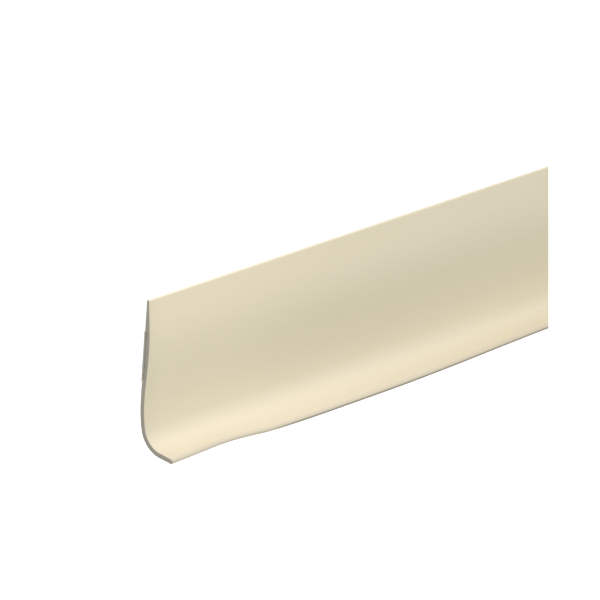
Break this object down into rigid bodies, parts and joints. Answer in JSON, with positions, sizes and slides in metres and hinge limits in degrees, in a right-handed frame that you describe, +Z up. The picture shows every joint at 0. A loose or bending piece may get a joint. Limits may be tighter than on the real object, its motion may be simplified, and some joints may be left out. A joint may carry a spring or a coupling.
{
  "type": "door sweep",
  "caption": "Self-adhesive vinyl door sweep: a flat mounting flange with foam tape behind it, and a flexible lip that curves forward to wipe the floor.",
  "frame": {"origin": "middle of the release liner's outer face, which is the plane of the door: half way along the sweep, and half way up the tape", "axes": "+X along the sweep, +Y out of the adhesive back and into the door, +Z up; the front and the lip face -Y"},
  "size_m": [0.9144, 0.015, 0.0507],
  "materials": {
    "flange_vinyl": "semi-rigid vinyl in almond beige, satin, with faint lines along the extrusion",
    "lip_vinyl": "flexible vinyl in the same almond beige, satin",
    "foam": "closed-cell foam, warm grey, open cells on the cut ends",
    "adhesive": "tacky acrylic adhesive film, clear amber, glossy",
    "liner": "siliconed off-white paper, smooth"
  },
  "bodies": {
    "flange": {"mounting_flange": "flange_vinyl", "foam_core": "foam", "flange_adhesive": "adhesive", "door_adhesive": "adhesive"},
    "lip": {"wiper_lip": "lip_vinyl"},
    "liner": {"release_liner": "liner"}
  },
  "joints": [
    {"name": "lip_flex", "type": "hinge", "parent": "flange", "child": "lip", "pos_m": [0, -0.00105, -0.01351], "axis": [-1, 0, 0], "range_deg": [-20, 30], "stiffness_Nm_per_rad": 0.62},
    {"name": "liner_peel", "type": "slide", "parent": "flange", "child": "liner", "axis": [0, 1, 0], "range_m": [0, 0.03]}
  ]
}
